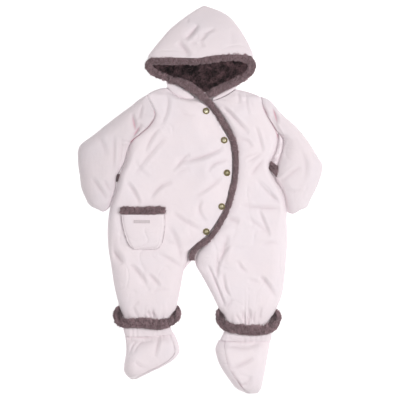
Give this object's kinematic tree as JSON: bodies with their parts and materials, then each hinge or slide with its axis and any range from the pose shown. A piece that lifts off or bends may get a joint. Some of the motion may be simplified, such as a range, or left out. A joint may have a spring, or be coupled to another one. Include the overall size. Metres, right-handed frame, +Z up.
{
  "type": "baby snowsuit",
  "caption": "Padded one-piece baby suit laid flat, with a pointed hood, pile edging, a curved wrap front with snaps, mitten ends, a pocket and bootees.",
  "frame": {"origin": "under the middle of the laid suit, on the surface that it lies on", "axes": "+Y from the feet to the hood, +X to the wearer's left, +Z up out of the front"},
  "size_m": [0.4884, 0.774, 0.0433],
  "materials": {
    "shell": "pale pink close-woven microfibre, soft sheen",
    "fur": "short dense grey-brown pile",
    "lining": "dark grey-brown pile",
    "tape": "plain woven tape, blank",
    "brass": "polished, slightly aged",
    "brass_rim": "dark aged"
  },
  "bodies": {
    "root": {"back_right": "shell", "back_left": "shell", "front_right": "shell", "front_left": "shell", "sleeve_right_front": "shell", "sleeve_right_back": "shell", "sleeve_left_front": "shell", "sleeve_left_back": "shell", "cuff_left_casing": "shell", "cuff_left_fur": "fur", "cuff_right_fur": "fur", "hood_right": "shell", "hood_left": "shell", "hood_lining": "lining", "hood_trim": "fur", "collar_right": "shell", "collar_left": "shell", "front_trim": "fur", "leg_right_trim": "fur", "leg_left_trim": "fur", "bootee_right_band": "shell", "bootee_right_upper": "shell", "bootee_right_under": "shell", "bootee_right_sole": "shell", "bootee_left_band": "shell", "bootee_left_upper": "shell", "bootee_left_under": "shell", "bootee_left_sole": "shell", "pocket": "shell", "pocket_trim": "fur", "pocket_label": "tape", "snap_1": "brass", "snap_2": "brass", "snap_3": "brass", "snap_4": "brass", "snap_5": "brass", "snap_1_ring": "brass_rim", "snap_2_ring": "brass_rim", "snap_3_ring": "brass_rim", "snap_4_ring": "brass_rim", "snap_5_ring": "brass_rim"}
  },
  "joints": []
}
